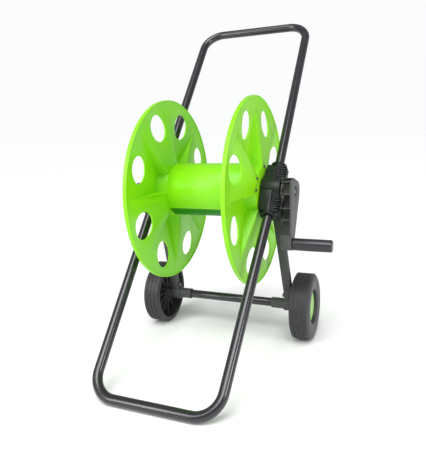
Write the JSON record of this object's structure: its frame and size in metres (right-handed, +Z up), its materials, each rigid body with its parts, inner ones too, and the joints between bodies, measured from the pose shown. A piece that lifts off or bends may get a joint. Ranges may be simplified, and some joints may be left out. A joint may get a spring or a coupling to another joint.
{
  "type": "garden hose reel cart",
  "caption": "Wheeled cart with a lime green hose reel between moulded side hubs, a crank with a turning grip, a bent tube handle behind and a bent tube stand in front.",
  "frame": {"origin": "on the ground, straight under the reel's axis, midway between the side hubs", "axes": "+X to the crank side along the reel's axis, +Y to the rear with the wheels and handle, +Z up"},
  "size_m": [0.4495, 0.6331, 0.7175],
  "materials": {
    "frame_steel": "gloss black powder coat",
    "hub_plastic": "satin black moulded plastic",
    "reel_plastic": "lime green moulded plastic, soft gloss",
    "bay_plastic": "deep green moulded plastic",
    "cap_plastic": "lime green moulded plastic",
    "wheel_plastic": "dark grey hard plastic",
    "crank_plastic": "dark grey moulded plastic",
    "grip_plastic": "black moulded plastic, fine grain",
    "bush_plastic": "natural acetal",
    "journal_plastic": "black moulded plastic",
    "fitting_plastic": "black moulded plastic",
    "soft_rubber": "black rubber",
    "zinc_steel": "bright zinc plate"
  },
  "bodies": {
    "frame": {"handle_tube": "frame_steel", "stand_tube": "frame_steel", "side_hub_right": "hub_plastic", "side_hub_left": "hub_plastic", "hub_screws_right": "zinc_steel", "hub_screws_left": "zinc_steel", "bearing_bush_right": "bush_plastic", "bearing_bush_left": "bush_plastic", "leg_right": "hub_plastic", "leg_left": "hub_plastic", "leg_bolt_right": "zinc_steel", "leg_bolt_left": "zinc_steel", "axle_tube": "frame_steel", "axle_plug_right": "zinc_steel", "axle_plug_left": "zinc_steel", "axle_clip_right": "zinc_steel", "axle_clip_left": "zinc_steel", "inlet_elbow": "fitting_plastic"},
    "reel": {"flange_right": "reel_plastic", "flange_left": "reel_plastic", "drum_upper": "reel_plastic", "drum_lower": "bay_plastic", "flange_screws_right": "zinc_steel", "flange_screws_left": "zinc_steel", "drive_shaft": "journal_plastic", "water_spindle": "journal_plastic", "spindle_seals": "soft_rubber", "inner_hose": "soft_rubber", "hose_outlet": "fitting_plastic", "outlet_nut": "fitting_plastic", "crank_arm": "crank_plastic", "crank_bolt": "zinc_steel", "crank_washer": "zinc_steel", "grip_pin": "zinc_steel"},
    "grip": {"crank_grip": "grip_plastic", "grip_cap": "grip_plastic"},
    "right_wheel": {"wheel_right": "wheel_plastic", "wheel_cap_right": "cap_plastic"},
    "left_wheel": {"wheel_left": "wheel_plastic", "wheel_cap_left": "cap_plastic"}
  },
  "joints": [
    {"name": "reel_turn", "type": "hinge", "parent": "frame", "child": "reel", "pos_m": [0, 0, 0.336], "axis": [1, 0, 0], "continuous": true},
    {"name": "grip_turn", "type": "hinge", "parent": "reel", "child": "grip", "pos_m": [0.2, -0.02867, 0.23603], "axis": [1, 0, 0], "continuous": true},
    {"name": "right_wheel_turn", "type": "hinge", "parent": "frame", "child": "right_wheel", "pos_m": [0.175, 0.084, 0.0715], "axis": [1, 0, 0], "continuous": true},
    {"name": "left_wheel_turn", "type": "hinge", "parent": "frame", "child": "left_wheel", "pos_m": [-0.175, 0.084, 0.0715], "axis": [1, 0, 0], "continuous": true}
  ]
}
